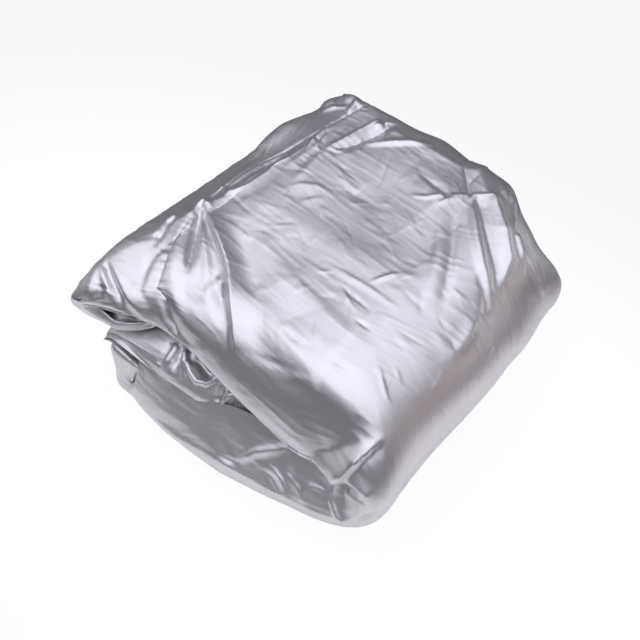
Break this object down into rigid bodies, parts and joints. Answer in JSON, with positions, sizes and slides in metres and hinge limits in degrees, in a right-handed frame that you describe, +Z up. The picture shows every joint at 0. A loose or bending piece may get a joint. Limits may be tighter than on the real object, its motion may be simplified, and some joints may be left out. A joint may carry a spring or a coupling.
{
  "type": "folded car cover",
  "caption": "Silver coated-cloth car cover, folded back and forth into a soft puffy bundle that rests on a flat face, as it is stored or shipped.",
  "frame": {"origin": "middle of the bundle's footprint, on the floor", "axes": "+X towards the big rounded fold, +Y towards the back long side, +Z up off the floor"},
  "size_m": [0.3672, 0.4098, 0.1612],
  "materials": {
    "silver_cloth": "satin"
  },
  "bodies": {
    "root": {"roof_panel": "silver_cloth", "side_panel": "silver_cloth"}
  },
  "joints": []
}
